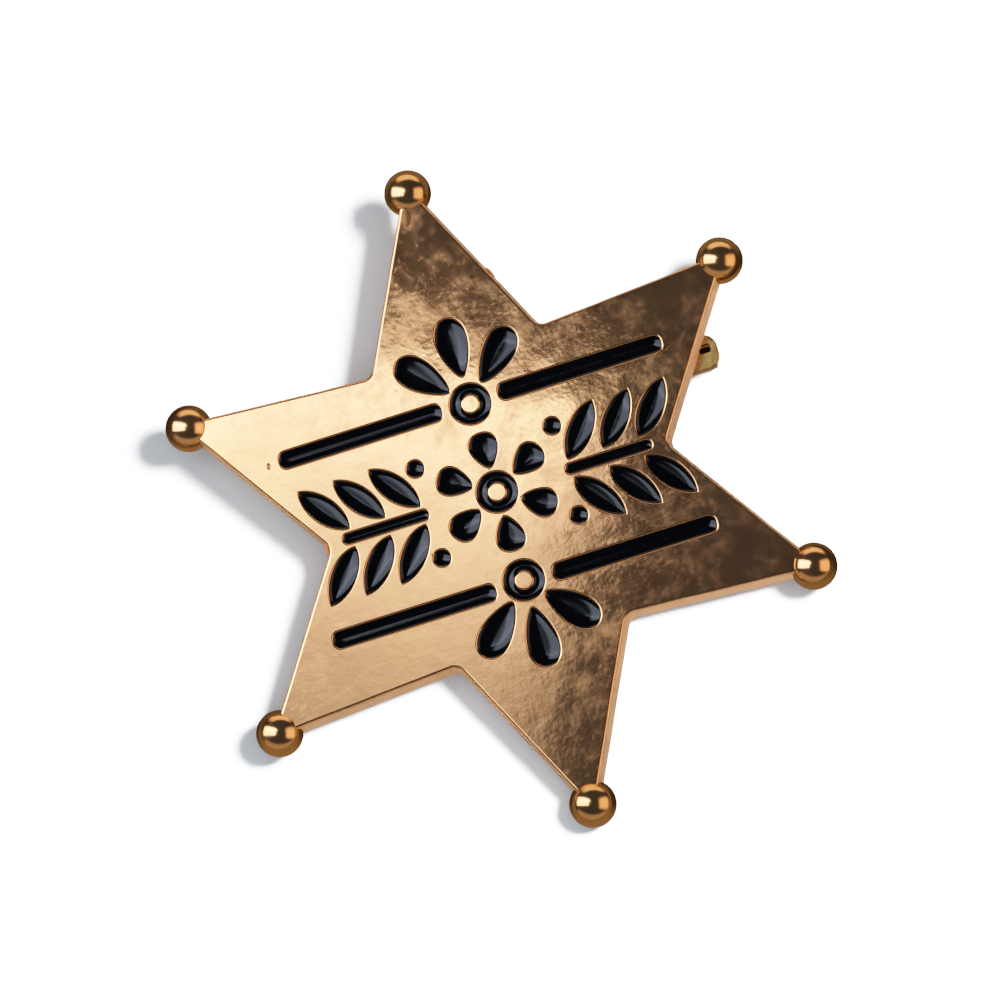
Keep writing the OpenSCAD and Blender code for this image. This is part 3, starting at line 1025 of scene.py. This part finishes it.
def haze(name):
    """Roughness that goes in patches from polished to dull, with fine dull specks"""
    tree, given, out = group(
        name, [("Place", 'Vector'), ("Polished", 'Float'), ("Dull", 'Float')],
        [("Roughness", 'Float')])
    patches = ramp(tree, noise(tree, given["Place"], 330.0, 6.0, Roughness=0.68), 0.46, 0.72)
    dots = ramp(tree, noise(tree, given["Place"], 2300.0, 2.0), 0.62, 0.72)
    both = maths(tree, 'ADD', patches, maths(tree, 'MULTIPLY', dots, 0.5), clamp=True)
    level = add(tree, 'ShaderNodeMapRange', {0: both, 3: given["Polished"],
                                             4: given["Dull"]})
    tree.links.new(level.outputs[0], out.inputs["Roughness"])
    return tree


def cast_skin(name):
    """Height of a cast and plated skin: slow waves, orange peel and fine grain"""
    tree, given, out = group(
        name, [("Place", 'Vector'), ("Waves", 'Float'), ("Peel", 'Float'), ("Grain", 'Float')],
        [("Height", 'Float')])
    total = None
    for socket, scale, detail in (("Waves", 110.0, 1.0), ("Peel", 620.0, 2.0),
                                  ("Grain", 2600.0, 3.0)):
        part = maths(tree, 'MULTIPLY', noise(tree, given["Place"], scale, detail),
                     given[socket])
        total = part if total is None else maths(tree, 'ADD', total, part)
    tree.links.new(total, out.inputs["Height"])
    return tree


def satin_walls(name):
    """Metal that turns satin below the face, where only the mould has touched it"""
    tree, given, out = group(
        name, [("Place", 'Vector'), ("Face Level", 'Float'), ("Metal", 'Float'),
               ("Roughness", 'Float')],
        [("Metallic", 'Float'), ("Roughness", 'Float')])
    split = add(tree, 'ShaderNodeSeparateXYZ', {0: given["Place"]})
    below = maths(tree, 'SUBTRACT', given["Face Level"], split.outputs[2])
    satin = ramp(tree, below, 0.02 * MM, 0.14 * MM)
    for label, full, rest in (("Metallic", given["Metal"], 1.0),
                              ("Roughness", 0.42, given["Roughness"])):
        level = add(tree, 'ShaderNodeMapRange', {0: satin, 3: rest, 4: full})
        tree.links.new(level.outputs[0], out.inputs[label])
    return tree


def painted_lip_shade(name):
    """Painted shade: a brown tone in a band just below the face, over the rounded lips and edges
    """
    tree, given, out = group(
        name, [("Place", 'Vector'), ("Color", 'Color'), ("Tone", 'Color'),
               ("Face Level", 'Float'), ("Band", 'Float'), ("Strength", 'Float')],
        [("Color", 'Color'), ("Mask", 'Float')])
    split = add(tree, 'ShaderNodeSeparateXYZ', {0: given["Place"]})
    below = maths(tree, 'SUBTRACT', given["Face Level"], split.outputs[2])
    depth = maths(tree, 'DIVIDE', below, given["Band"])
    start = ramp(tree, depth, 0.05, 0.6)
    fade = ramp(tree, depth, 3.0, 1.0)
    patches = ramp(tree, noise(tree, given["Place"], 900.0, 3.0), 0.3, 0.6)
    band = maths(tree, 'MULTIPLY', maths(tree, 'MULTIPLY', start, fade), patches)
    mask = maths(tree, 'MULTIPLY', band, given["Strength"], clamp=True)
    tree.links.new(mix_colour(tree, mask, given["Color"], given["Tone"]), out.inputs["Color"])
    tree.links.new(mask, out.inputs["Mask"])
    return tree


def new_finish(name, star):
    """A material with its shader, and the place on the badge as it was on the bench"""
    material = bpy.data.materials.new(name)
    material.use_nodes = True
    tree = material.node_tree
    tree.nodes.clear()
    shader = tree.nodes.new('ShaderNodeBsdfPrincipled')
    output = tree.nodes.new('ShaderNodeOutputMaterial')
    tree.links.new(shader.outputs[0], output.inputs[0])
    coords = tree.nodes.new('ShaderNodeTexCoord')
    lift = Vector((0, 0, star.lift * MM))
    flat = Matrix.Rotation(-star.tilt, 3, 'X') @ -lift
    mapping = add(tree, 'ShaderNodeMapping',
                  {'Vector': coords.outputs['Object'], 'Location': flat,
                   'Rotation': (-star.tilt, 0, 0)})
    return material, tree, shader, mapping.outputs[0]


def rgba(value):
    """A colour with the full opacity that a socket asks for"""
    return (*value, 1.0)


def shade(value, by):
    """A colour made lighter or darker"""
    return tuple(channel * by for channel in value)


def feel(tree, shader, place, waves, peel, grain):
    """Gives a finish the fine relief of a cast or poured skin"""
    skin = place_group(tree, "Cast Skin", cast_skin,
                       {"Place": place, "Waves": waves, "Peel": peel, "Grain": grain})
    bump = add(tree, 'ShaderNodeBump', {'Height': skin["Height"], 'Distance': 0.1 * MM,
                                        'Strength': 1.0})
    tree.links.new(bump.outputs[0], shader.inputs['Normal'])


def finish_metal(name, star, tone, cloud_tone, rough, dull, cloud_scale, skin,
                 lip_shade_strength, wall_metal=1.0):
    """The shared make-up of all the plated metal, with each finish's own values"""
    colours = bpy.context.scene.badge_colours
    material, tree, shader, place = new_finish(name, star)
    clouds = place_group(tree, "Clouded Plating", clouded_plating,
                         {"Place": place, "Tone": rgba(tone), "Cloud Tone": rgba(cloud_tone),
                          "Scale": cloud_scale, "Amount": 0.8})
    # Painted shade: a brown band over the lips and edges just below the face
    lip_shade = place_group(tree, "Shoulder Tone", painted_lip_shade,
                           {"Place": place, "Color": clouds["Color"],
                            "Tone": rgba(colours.bronze),
                            "Face Level": star.face_z * MM, "Band": 0.12 * MM,
                            "Strength": lip_shade_strength})
    tree.links.new(lip_shade["Color"], shader.inputs['Base Color'])
    hazy = place_group(tree, "Haze", haze, {"Place": place, "Polished": rough,
                                            "Dull": dull})
    worn = maths(tree, 'ADD', hazy["Roughness"],
                 maths(tree, 'MULTIPLY', lip_shade["Mask"], 0.18))
    if wall_metal < 1:
        satin = place_group(tree, "Satin Walls", satin_walls,
                            {"Place": place, "Face Level": star.face_z * MM,
                             "Metal": wall_metal, "Roughness": worn})
        tree.links.new(satin["Roughness"], shader.inputs['Roughness'])
        tree.links.new(satin["Metallic"], shader.inputs['Metallic'])
    else:
        tree.links.new(worn, shader.inputs['Roughness'])
        shader.inputs['Metallic'].default_value = 1.0
    feel(tree, shader, place, *skin)
    return material


def cast_gold(star):
    """Antique gold of the plate: polished and clouded on the face, satin on its walls, with
    painted shade in a brown band over its lips and edges
    """
    colours = bpy.context.scene.badge_colours
    return finish_metal("Cast antique gold", star, colours.gold, colours.rose,
                        colours.plate_rough, 0.14, 260.0, (0.28, 0.05, 0.014), 0.3, 0.6)


def satin_gold(star):
    """Dark, dull gold of the run of metal under the top ball"""
    colours = bpy.context.scene.badge_colours
    return finish_metal("Satin gold", star, shade(colours.ball_gold, 0.32), colours.bronze,
                        0.48, 0.6, 300.0, (0.1, 0.10, 0.02), 0.0)


def polished_gold(star):
    """Polished gold of the balls"""
    colours = bpy.context.scene.badge_colours
    return finish_metal("Polished ball gold", star, colours.ball_gold, colours.gold,
                        colours.ball_rough, 0.20, 300.0, (0.0, 0.03, 0.004), 0.0)


def plated_brass(star):
    """Plated brass of the pin back"""
    colours = bpy.context.scene.badge_colours
    return finish_metal("Plated brass", star, colours.brass, colours.ball_gold,
                        0.2, 0.35, 420.0, (0.1, 0.08, 0.02), 0.0)


def painted_shade_brass(star):
    """Near-black brass, painted shade for the places on the pin back that lie in shadow"""
    painted_shade = shade(bpy.context.scene.badge_colours.bronze, 0.12)
    return finish_metal("Tarnished brass", star, painted_shade, painted_shade, 0.5, 0.6, 420.0,
                        (0.1, 0.08, 0.02), 0.0)


def black_enamel(star):
    """Poured black enamel: glossy, faintly uneven, with a little dust in it"""
    found = bpy.data.materials.get("Black enamel")
    if found:
        return found
    colours = bpy.context.scene.badge_colours
    material, tree, shader, place = new_finish("Black enamel", star)
    clouds = place_group(tree, "Clouded Plating", clouded_plating,
                         {"Place": place, "Tone": rgba(colours.enamel),
                          "Cloud Tone": rgba(shade(colours.enamel, 2.0)),
                          "Scale": 700.0, "Amount": 0.7})
    tree.links.new(clouds["Color"], shader.inputs['Base Color'])
    rough = maths(tree, 'ADD', maths(tree, 'MULTIPLY', clouds["Clouds"], 0.05),
                  colours.enamel_rough)
    tree.links.new(rough, shader.inputs['Roughness'])
    shader.inputs['Specular IOR Level'].default_value = 0.36
    shader.inputs['Specular Tint'].default_value = (0.72, 0.80, 1.0, 1.0)
    feel(tree, shader, place, 0.0, 0.04, 0.004)
    return material


# The stage

FILM_WHITE = 4.0


def camera_axes(stage):
    """Right, up and back of the camera as it looks at the badge"""
    a, e, roll = stage.camera_around, stage.camera_above, stage.camera_roll
    back = Vector((math.sin(a) * math.cos(e), -math.cos(a) * math.cos(e), math.sin(e)))
    upright = (Vector((0, 0, 1)) - back * back.z).normalized()
    level = upright.cross(back)
    up = upright * math.cos(roll) + level * math.sin(roll)
    return up.cross(back), up, back


def turned(right, up, back, place):
    """The matrix of an object that stands at a place and faces along minus back"""
    return Matrix.Translation(place) @ Matrix((right, up, back)).transposed().to_4x4()


def light_falloff(data, edge, dim, skew):
    """Dims a soft box towards its edges and its lower side, with its far side skewed"""
    data.use_nodes = True
    tree = data.node_tree
    tree.nodes.clear()
    place = tree.nodes.new('ShaderNodeNewGeometry').outputs['Parametric']
    split = add(tree, 'ShaderNodeSeparateXYZ', {0: place})
    level = maths(tree, 'POWER', split.outputs[1], dim)
    down = maths(tree, 'SUBTRACT', 1.0, split.outputs[1])
    skewed = maths(tree, 'ADD', split.outputs[0], maths(tree, 'MULTIPLY', down, skew))
    for side in (skewed, split.outputs[1]):
        rest = maths(tree, 'SUBTRACT', 1.0, side)
        nearest = maths(tree, 'MINIMUM', side, rest)
        fade = add(tree, 'ShaderNodeMapRange', {0: nearest, 2: edge},
                   interpolation_type='SMOOTHSTEP')
        level = maths(tree, 'MULTIPLY', level, fade.outputs[0])
    glow = add(tree, 'ShaderNodeEmission', {'Strength': level})
    out = tree.nodes.new('ShaderNodeOutputLight')
    tree.links.new(glow.outputs[0], out.inputs[0])


def soft_box(name, stage, across, upwards, far, glow, tint=(1, 1, 1), edge=0.0, dim=0.0,
             skew=0.0):
    """A soft box between two angles beside and two above the camera, as bright as its glow"""
    right, up, back = camera_axes(stage)
    sideways, above = math.radians(sum(across) / 2), math.radians(sum(upwards) / 2)
    direction = (right * math.sin(sideways) * math.cos(above) + up * math.sin(above)
                 + back * math.cos(sideways) * math.cos(above))
    side = up.cross(direction).normalized()
    data = bpy.data.lights.new(name, 'AREA')
    data.shape = 'RECTANGLE'
    data.size = 2 * far * math.tan(math.radians(across[1] - across[0]) / 2)
    data.size_y = 2 * far * math.tan(math.radians(upwards[1] - upwards[0]) / 2)
    data.energy = glow * math.pi * data.size * data.size_y
    data.color = tint
    if edge:
        light_falloff(data, edge, dim, skew)
    light = bpy.data.objects.new(name, data)
    bpy.context.scene.collection.objects.link(light)
    aim = Vector((0, 0, stage.aim_z * MM))
    light.matrix_world = turned(side, direction.cross(side), direction, aim + direction * far)
    return light


def painted_ball_reflection(name):
    """What a ball mirrors of the floor round it, as a painted reflection: dark with painted
    shade, but browner below it and on top
    """
    tree, given, out = group(
        name, [("Place", 'Vector'), ("Up", 'Vector'), ("Balls At", 'Float')],
        [("Color", 'Color')])
    split = add(tree, 'ShaderNodeSeparateXYZ', {0: given["Place"]})
    turn = maths(tree, 'ARCTAN2', split.outputs[1], split.outputs[0])
    sector = math.tau / POINTS
    count = maths(tree, 'FLOOR', maths(tree, 'DIVIDE', turn, sector))
    middle = maths(tree, 'MULTIPLY', maths(tree, 'ADD', count, 0.5), sector)
    spoke = add(tree, 'ShaderNodeCombineXYZ', {0: maths(tree, 'COSINE', middle),
                                               1: maths(tree, 'SINE', middle)})
    centre = add(tree, 'ShaderNodeVectorMath', {0: spoke.outputs[0], 'Scale': given["Balls At"]},
                 operation='SCALE')
    away = add(tree, 'ShaderNodeVectorMath', {0: given["Place"], 1: centre.outputs[0]},
               operation='SUBTRACT').outputs[0]
    far = add(tree, 'ShaderNodeVectorMath', {0: away}, operation='LENGTH').outputs['Value']

    def upward(vector):
        """How nearly a vector points up in the camera's picture"""
        unit = add(tree, 'ShaderNodeVectorMath', {0: vector}, operation='NORMALIZE')
        return add(tree, 'ShaderNodeVectorMath', {0: unit.outputs[0], 1: given["Up"]},
                   operation='DOT_PRODUCT').outputs['Value']

    wide = ramp(tree, far, 0.010, 0.015)
    side = add(tree, 'ShaderNodeMix', {0: wide, 2: upward(away), 3: upward(given["Place"])},
               data_type='FLOAT').outputs[0]
    low = ramp(tree, side, 0.1, -0.7)
    high = maths(tree, 'MULTIPLY', ramp(tree, side, 0.55, 0.85),
                 ramp(tree, far, 0.005, 0.010))
    # Painted light and shade: brown below each ball and a band on top, dark elsewhere
    below = mix_colour(tree, low, rgba((0.05, 0.036, 0.022)), rgba((0.34, 0.25, 0.14)))
    tree.links.new(mix_colour(tree, high, below, rgba((0.26, 0.19, 0.10))),
                   out.inputs["Color"])
    return tree


def floor_finish(stage, balls_at):
    """Pale matt floor, which the metal mirrors as a dim one: glossy rays see an emission that
    paints its reflection, with painted shade round each ball
    """
    colours = bpy.context.scene.badge_colours
    material = bpy.data.materials.new("Pale floor")
    material.use_nodes = True
    tree = material.node_tree
    shader = tree.nodes['Principled BSDF']
    coords = tree.nodes.new('ShaderNodeTexCoord')
    pale = mix_colour(tree, noise(tree, coords.outputs['Object'], 40.0, 2.0),
                      rgba(colours.floor), rgba(shade(colours.floor, 0.985)))
    tree.links.new(pale, shader.inputs['Base Color'])
    shader.inputs['Roughness'].default_value = 0.9
    shader.inputs['Specular IOR Level'].default_value = 0.0
    up = camera_axes(stage)[1]
    glow = place_group(tree, "Ball Glow", painted_ball_reflection,
                       {"Place": coords.outputs['Object'], "Balls At": balls_at * MM,
                        "Up": Vector((up.x, up.y, 0)).normalized()})
    # Glossy rays see this emission, a painted reflection, in place of the lit floor
    card = add(tree, 'ShaderNodeEmission', {'Color': glow["Color"]})
    path = tree.nodes.new('ShaderNodeLightPath')
    seen = add(tree, 'ShaderNodeMixShader', {0: path.outputs['Is Glossy Ray'],
                                             1: shader.outputs[0], 2: card.outputs[0]})
    tree.links.new(seen.outputs[0], tree.nodes['Material Output'].inputs[0])
    return material


def film_shoulder(scene):
    """Lets bright tones fade to white softly, as a photograph does"""
    view = scene.view_settings
    view.view_transform = 'Standard'
    view.look = 'None'
    view.use_curve_mapping = True
    curves = view.curve_mapping
    curves.white_level = (FILM_WHITE,) * 3
    tones = curves.curves[3]
    for x in (0.1, 0.25, 0.5, 0.8, 1.2, 1.8, 2.7):
        tones.points.new(x / FILM_WHITE, (1 - math.exp(-x)) / (1 - math.exp(-FILM_WHITE)))
    curves.update()


def make_stage():
    """Floor, camera and soft lights"""
    scene = bpy.context.scene
    stage = in_mm(scene.stage_sizes)
    bpy.ops.mesh.primitive_plane_add(size=stage.floor_w * MM)
    floor = bpy.context.active_object
    floor.name = "floor"
    floor.data.materials.append(floor_finish(stage, sizes().star.balls_at))

    right, up, back = camera_axes(stage)
    data = bpy.data.cameras.new("camera")
    data.lens = stage.lens
    data.sensor_width = 36
    data.clip_start = 0.01
    data.clip_end = 20
    camera = bpy.data.objects.new("camera", data)
    scene.collection.objects.link(camera)
    aim = Vector((stage.aim_x, stage.aim_y, stage.aim_z)) * MM
    camera.matrix_world = turned(right, up, back, aim + back * stage.camera_far * MM)
    scene.camera = camera

    soft_box("left_box", stage, (-72, -10.9), (-18, 19.05), 0.50, 5.8, edge=0.025, dim=9.5,
             skew=0.09)
    left_core = soft_box("left_core", stage, (-88, -17), (-11, 30), 0.49, 4.4, edge=0.12)
    left_core.visible_diffuse = False
    for name, across, upwards, glow, tint in (
            ("right_box", (24, 88), (-28, 34), 2.2, (1.0, 0.60, 0.40)),
            ("top_strip", (-42, 52), (68, 114), 1.7, (1.0, 0.72, 0.48)),
            ("low_card", (-72, 72), (-102, -45), 0.5, (1.0, 0.76, 0.54))):
        card = soft_box(name, stage, across, upwards, 0.6, glow, tint, edge=0.3)
        card.visible_diffuse = False
    over_floor = soft_box("floor_light", stage, (19, 31), (10, 22), 0.9, 480.0)
    floor_fill = soft_box("floor_fill", stage, (-30, 30), (-30, 30), 1.5, 2.9,
                          (0.88, 1.0, 1.12))
    floor_only = bpy.data.collections.new("lit by the floor lights")
    floor_only.objects.link(floor)
    for light in (over_floor, floor_fill):
        light.visible_glossy = False
        light.light_linking.receiver_collection = floor_only

    world = bpy.data.worlds.new("studio")
    world.use_nodes = True
    tree = world.node_tree
    tree.nodes.clear()
    path = tree.nodes.new('ShaderNodeLightPath')
    dark = add(tree, 'ShaderNodeBackground', {'Color': (0.050, 0.055, 0.064, 1), 'Strength': 1.0})
    pale = add(tree, 'ShaderNodeBackground', {'Color': (1, 1, 1, 1), 'Strength': 8.0})
    mixed = add(tree, 'ShaderNodeMixShader', {0: path.outputs['Is Camera Ray'],
                                              1: dark.outputs[0], 2: pale.outputs[0]})
    out = tree.nodes.new('ShaderNodeOutputWorld')
    tree.links.new(mixed.outputs[0], out.inputs[0])
    scene.world = world
    film_shoulder(scene)


# The add-on: one operator for each piece or group of like pieces, and a panel

class BADGE_OT_casting(bpy.types.Operator):
    """Casts the star with its balls, pegs and sunk ornament"""
    bl_idname = "badge.casting"
    bl_label = "Star casting"

    def execute(self, context):
        make_casting()
        return {'FINISHED'}


class BADGE_OT_flower_enamel(bpy.types.Operator):
    """Fills the petals and rings with black enamel"""
    bl_idname = "badge.flower_enamel"
    bl_label = "Petals and rings"

    def execute(self, context):
        make_enamel({"petal", "rosette_petal", "ring"})
        return {'FINISHED'}


class BADGE_OT_line_enamel(bpy.types.Operator):
    """Fills the bars and stems with black enamel"""
    bl_idname = "badge.line_enamel"
    bl_label = "Bars and stems"

    def execute(self, context):
        make_enamel({"bar", "stem"})
        return {'FINISHED'}


class BADGE_OT_laurel_enamel(bpy.types.Operator):
    """Fills the leaves and berries with black enamel"""
    bl_idname = "badge.laurel_enamel"
    bl_label = "Leaves and berries"

    def execute(self, context):
        make_enamel({"leaf", "berry"})
        return {'FINISHED'}


class BADGE_OT_clasp(bpy.types.Operator):
    """Makes the pin back: strip, catch, stem wire and rivet"""
    bl_idname = "badge.clasp"
    bl_label = "Pin back"

    def execute(self, context):
        make_clasp()
        return {'FINISHED'}


class BADGE_OT_stage(bpy.types.Operator):
    """Sets out the floor, camera and lights"""
    bl_idname = "badge.stage"
    bl_label = "Stage"

    def execute(self, context):
        make_stage()
        return {'FINISHED'}


OPERATORS = (BADGE_OT_casting, BADGE_OT_flower_enamel, BADGE_OT_line_enamel,
             BADGE_OT_laurel_enamel, BADGE_OT_clasp, BADGE_OT_stage)


class BADGE_PT_panel(bpy.types.Panel):
    """Sizes and steps of the star badge"""
    bl_idname = "BADGE_PT_panel"
    bl_label = "Star badge"
    bl_space_type = 'VIEW_3D'
    bl_region_type = 'UI'
    bl_category = "Badge"

    def draw(self, context):
        layout = self.layout
        for operator in OPERATORS:
            layout.operator(operator.bl_idname)
        for key in GROUPS:
            box = layout.box()
            sizes_group = getattr(context.scene, key)
            for prop in sizes_group.__annotations__:
                box.prop(sizes_group, prop)


GROUPS = {"star_sizes": StarSizes, "ornament_sizes": OrnamentSizes,
          "enamel_sizes": EnamelSizes, "clasp_sizes": ClaspSizes,
          "badge_colours": BadgeColours, "stage_sizes": StageSizes}
CLASSES = (*GROUPS.values(), *OPERATORS, BADGE_PT_panel)


def register():
    for each in CLASSES:
        bpy.utils.register_class(each)
    for key, kind in GROUPS.items():
        setattr(bpy.types.Scene, key, PointerProperty(type=kind))


def unregister():
    for key in GROUPS:
        delattr(bpy.types.Scene, key)
    for each in reversed(CLASSES):
        bpy.utils.unregister_class(each)


def main():
    register()
    bpy.ops.badge.casting()
    bpy.ops.badge.flower_enamel()
    bpy.ops.badge.line_enamel()
    bpy.ops.badge.laurel_enamel()
    bpy.ops.badge.clasp()
    bpy.ops.badge.stage()


if __name__ == "__main__":
    main()
